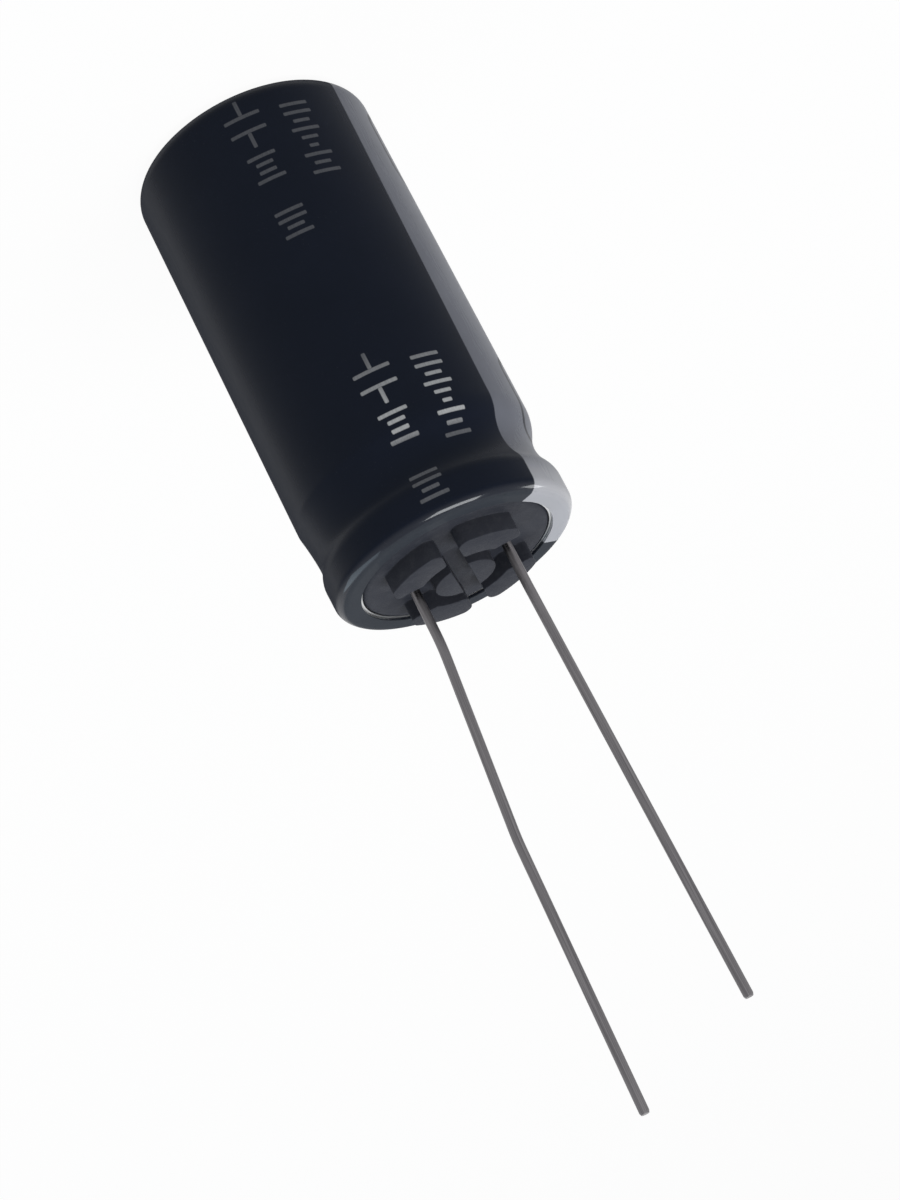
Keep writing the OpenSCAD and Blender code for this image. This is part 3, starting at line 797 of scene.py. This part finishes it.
# %% Finish of lined stock
def lined_stock(tree, shader, line_places, skin_places, line, grain, tones, rough, relief):
    """Colour, gloss and relief from lines. A line is its width and length, and a grain is the
    size of its specks, the size of its waves and the waves' share."""
    line_width, line_length = line
    grain_size, wave_size, wave_share = grain
    drawn = use_group(tree, lines, Place=line_places, Line_width=line_width, Line_length=line_length)
    uneven = use_group(tree, skin, Place=skin_places, Grain_size=grain_size, Wave_size=wave_size,
                       Wave_share=wave_share)
    fill(tree, shader,
         Base_Color=tint(tree, spread(tree, drawn["Mask"], noise_low, noise_high), *tones),
         Roughness=spread(tree, uneven["Shade"], noise_low, noise_high, *rough))
    raise_skin(tree, shader, drawn["Mask"], relief)

# %% Tinned wire
wire_mat, tree, shader, _ = finish_for("tinned_wire", Metallic=1.0)
lay = place(tree, "ShaderNodeAttribute", attribute_name="wire_lay").outputs["Vector"]
lined_stock(tree, shader, lay, lay, line=(0.04 * mm, 6 * mm), grain=(0.06 * mm, 1.2 * mm, 0.4),
            tones=((0.090, 0.086, 0.092), (0.210, 0.202, 0.210)), rough=(0.26, 0.42),
            relief=0.006 * mm)
print("finish:", wire_mat.name)

# %% Paths of the two wires
lead_x = 2.5 * mm
weld_foot_z, weld_h, first_bend_z = 24.47 * mm, 0.4 * mm, 28.17 * mm
bend_r, bend_step, tip_taper, tip_cut = 18 * mm, 0.3, 0.12 * mm, 0.05 * mm

def wire_path(name, foot_x, bends, runs):
    """Polyline of a wire from its weld, with its radius at each point; bends are in degrees, and
    each is followed by a straight run. A wire leans outwards, away from the can's axis."""
    sign = math.copysign(1, foot_x)
    here, lean = Vector((foot_x, 0, weld_foot_z)), 0.0
    points, radii = [], []

    def mark(radius=wire_r):
        points.append(here.copy())
        radii.append(radius)

    def ahead():
        return Vector((sign * math.sin(lean), 0, math.cos(lean)))

    mark(weld_r)
    here.z += weld_h
    mark()
    here.z = first_bend_z
    mark()
    for angle, run in zip(bends, runs):
        steps = max(2, round(abs(angle) / bend_step))
        turn = math.radians(angle) / steps
        for _ in range(steps):
            lean += turn / 2
            here += ahead() * (2 * bend_r * math.sin(abs(turn) / 2))
            lean += turn / 2
            mark()
        here += ahead() * run
        mark()
    points[-1] -= ahead() * tip_taper
    mark(wire_r - tip_cut)
    mesh = bpy.data.meshes.new(name)
    mesh.from_pydata(points, [(i, i + 1) for i in range(len(points) - 1)], [])
    mesh.attributes.new("girth", "FLOAT", "POINT").data.foreach_set("value", radii)
    print(name, "ends at mm", [round(v / mm, 3) for v in here])
    return mesh

# %% Wires in place
anode_path = wire_path("anode_path", lead_x, (5.1, -3.7), (9 * mm, 13.529 * mm))
cathode_path = wire_path("cathode_path", -lead_x, (0.8,), (22.45 * mm,))
for name, base, node in (("anode_wire", anode_path, "anode_lead"),
                         ("cathode_wire", cathode_path, "cathode_lead")):
    wire = made_by(sweep, base, name, Steps_round=32, Finish=wire_mat)
    face_outwards(wire.data, sharp=40)
    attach(wire, "root")
    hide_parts(node)

# %% [markdown]
# ## The can and what is inside it
# Under the film the can is bare drawn aluminium, with rings from the press on its closed end. The
# tabs are cut from aluminium strip, the roll shows its paper edges, and its tape is a thin amber
# film. Their solids are right as they are, so they only get their finishes.

# %% Drawn aluminium
def by_distance_from_axis(tree, places):
    """Places with the distance from the can's axis as X and no Y, so that lines become rings."""
    spot = fill(tree, place(tree, "ShaderNodeSeparateXYZ"), Vector=places).outputs
    squares = [calc(tree, "POWER", spot[axis], 2.0) for axis in "XY"]
    return fill(tree, place(tree, "ShaderNodeCombineXYZ"),
                X=calc(tree, "SQRT", calc(tree, "ADD", *squares)), Z=spot["Z"]).outputs[0]

can_mat, tree, shader, places = finish_for("can_metal", Metallic=1.0)
lined_stock(tree, shader, by_distance_from_axis(tree, places), places,
            line=(0.05 * mm, 0.4 * mm), grain=(0.15 * mm, 2 * mm, 0.5),
            tones=((0.50, 0.51, 0.52), (0.68, 0.69, 0.70)), rough=(0.25, 0.4), relief=0.006 * mm)
nodes["can"].material_slots[0].material = can_mat
print("finish:", can_mat.name)

# %% Tab strip
tab_mat, tree, shader, places = finish_for("tab_metal", Metallic=1.0)
lined_stock(tree, shader, places, places, line=(0.05 * mm, 4 * mm), grain=(0.1 * mm, 1.5 * mm, 0.4),
            tones=((0.55, 0.56, 0.57), (0.72, 0.73, 0.74)), rough=(0.3, 0.45), relief=0.005 * mm)
for node in ("anode_tab", "cathode_tab"):
    nodes[node].material_slots[0].material = tab_mat
print("finish:", tab_mat.name)

# %% Paper roll
paper_mat, tree, shader, places = finish_for("roll_paper", Specular_IOR_Level=0.25)
lined_stock(tree, shader, places, places, line=(0.12 * mm, 0.4 * mm), grain=(0.08 * mm, 1 * mm, 0.3),
            tones=((0.52, 0.44, 0.31), (0.66, 0.58, 0.43)), rough=(0.6, 0.8), relief=0.015 * mm)
nodes["wound_element"].material_slots[0].material = paper_mat
print("finish:", paper_mat.name)

# %% Closing tape
tape_tones, tape_rough, tape_bump = ((0.62, 0.45, 0.14), (0.74, 0.56, 0.22)), (0.22, 0.36), 0.01 * mm

tape_mat, tree, shader, places = finish_for("roll_tape", Specular_IOR_Level=0.4)
skin_out = use_group(tree, skin, Place=places, Grain_size=0.2 * mm, Wave_size=2 * mm, Wave_share=0.7)
fill(tree, shader, Base_Color=tint(tree, skin_out["Shade"], *tape_tones),
     Roughness=spread(tree, skin_out["Height"], noise_low, noise_high, *tape_rough))
raise_skin(tree, shader, skin_out["Height"], tape_bump)
nodes["element_tape"].material_slots[0].material = tape_mat
print("finish:", tape_mat.name)
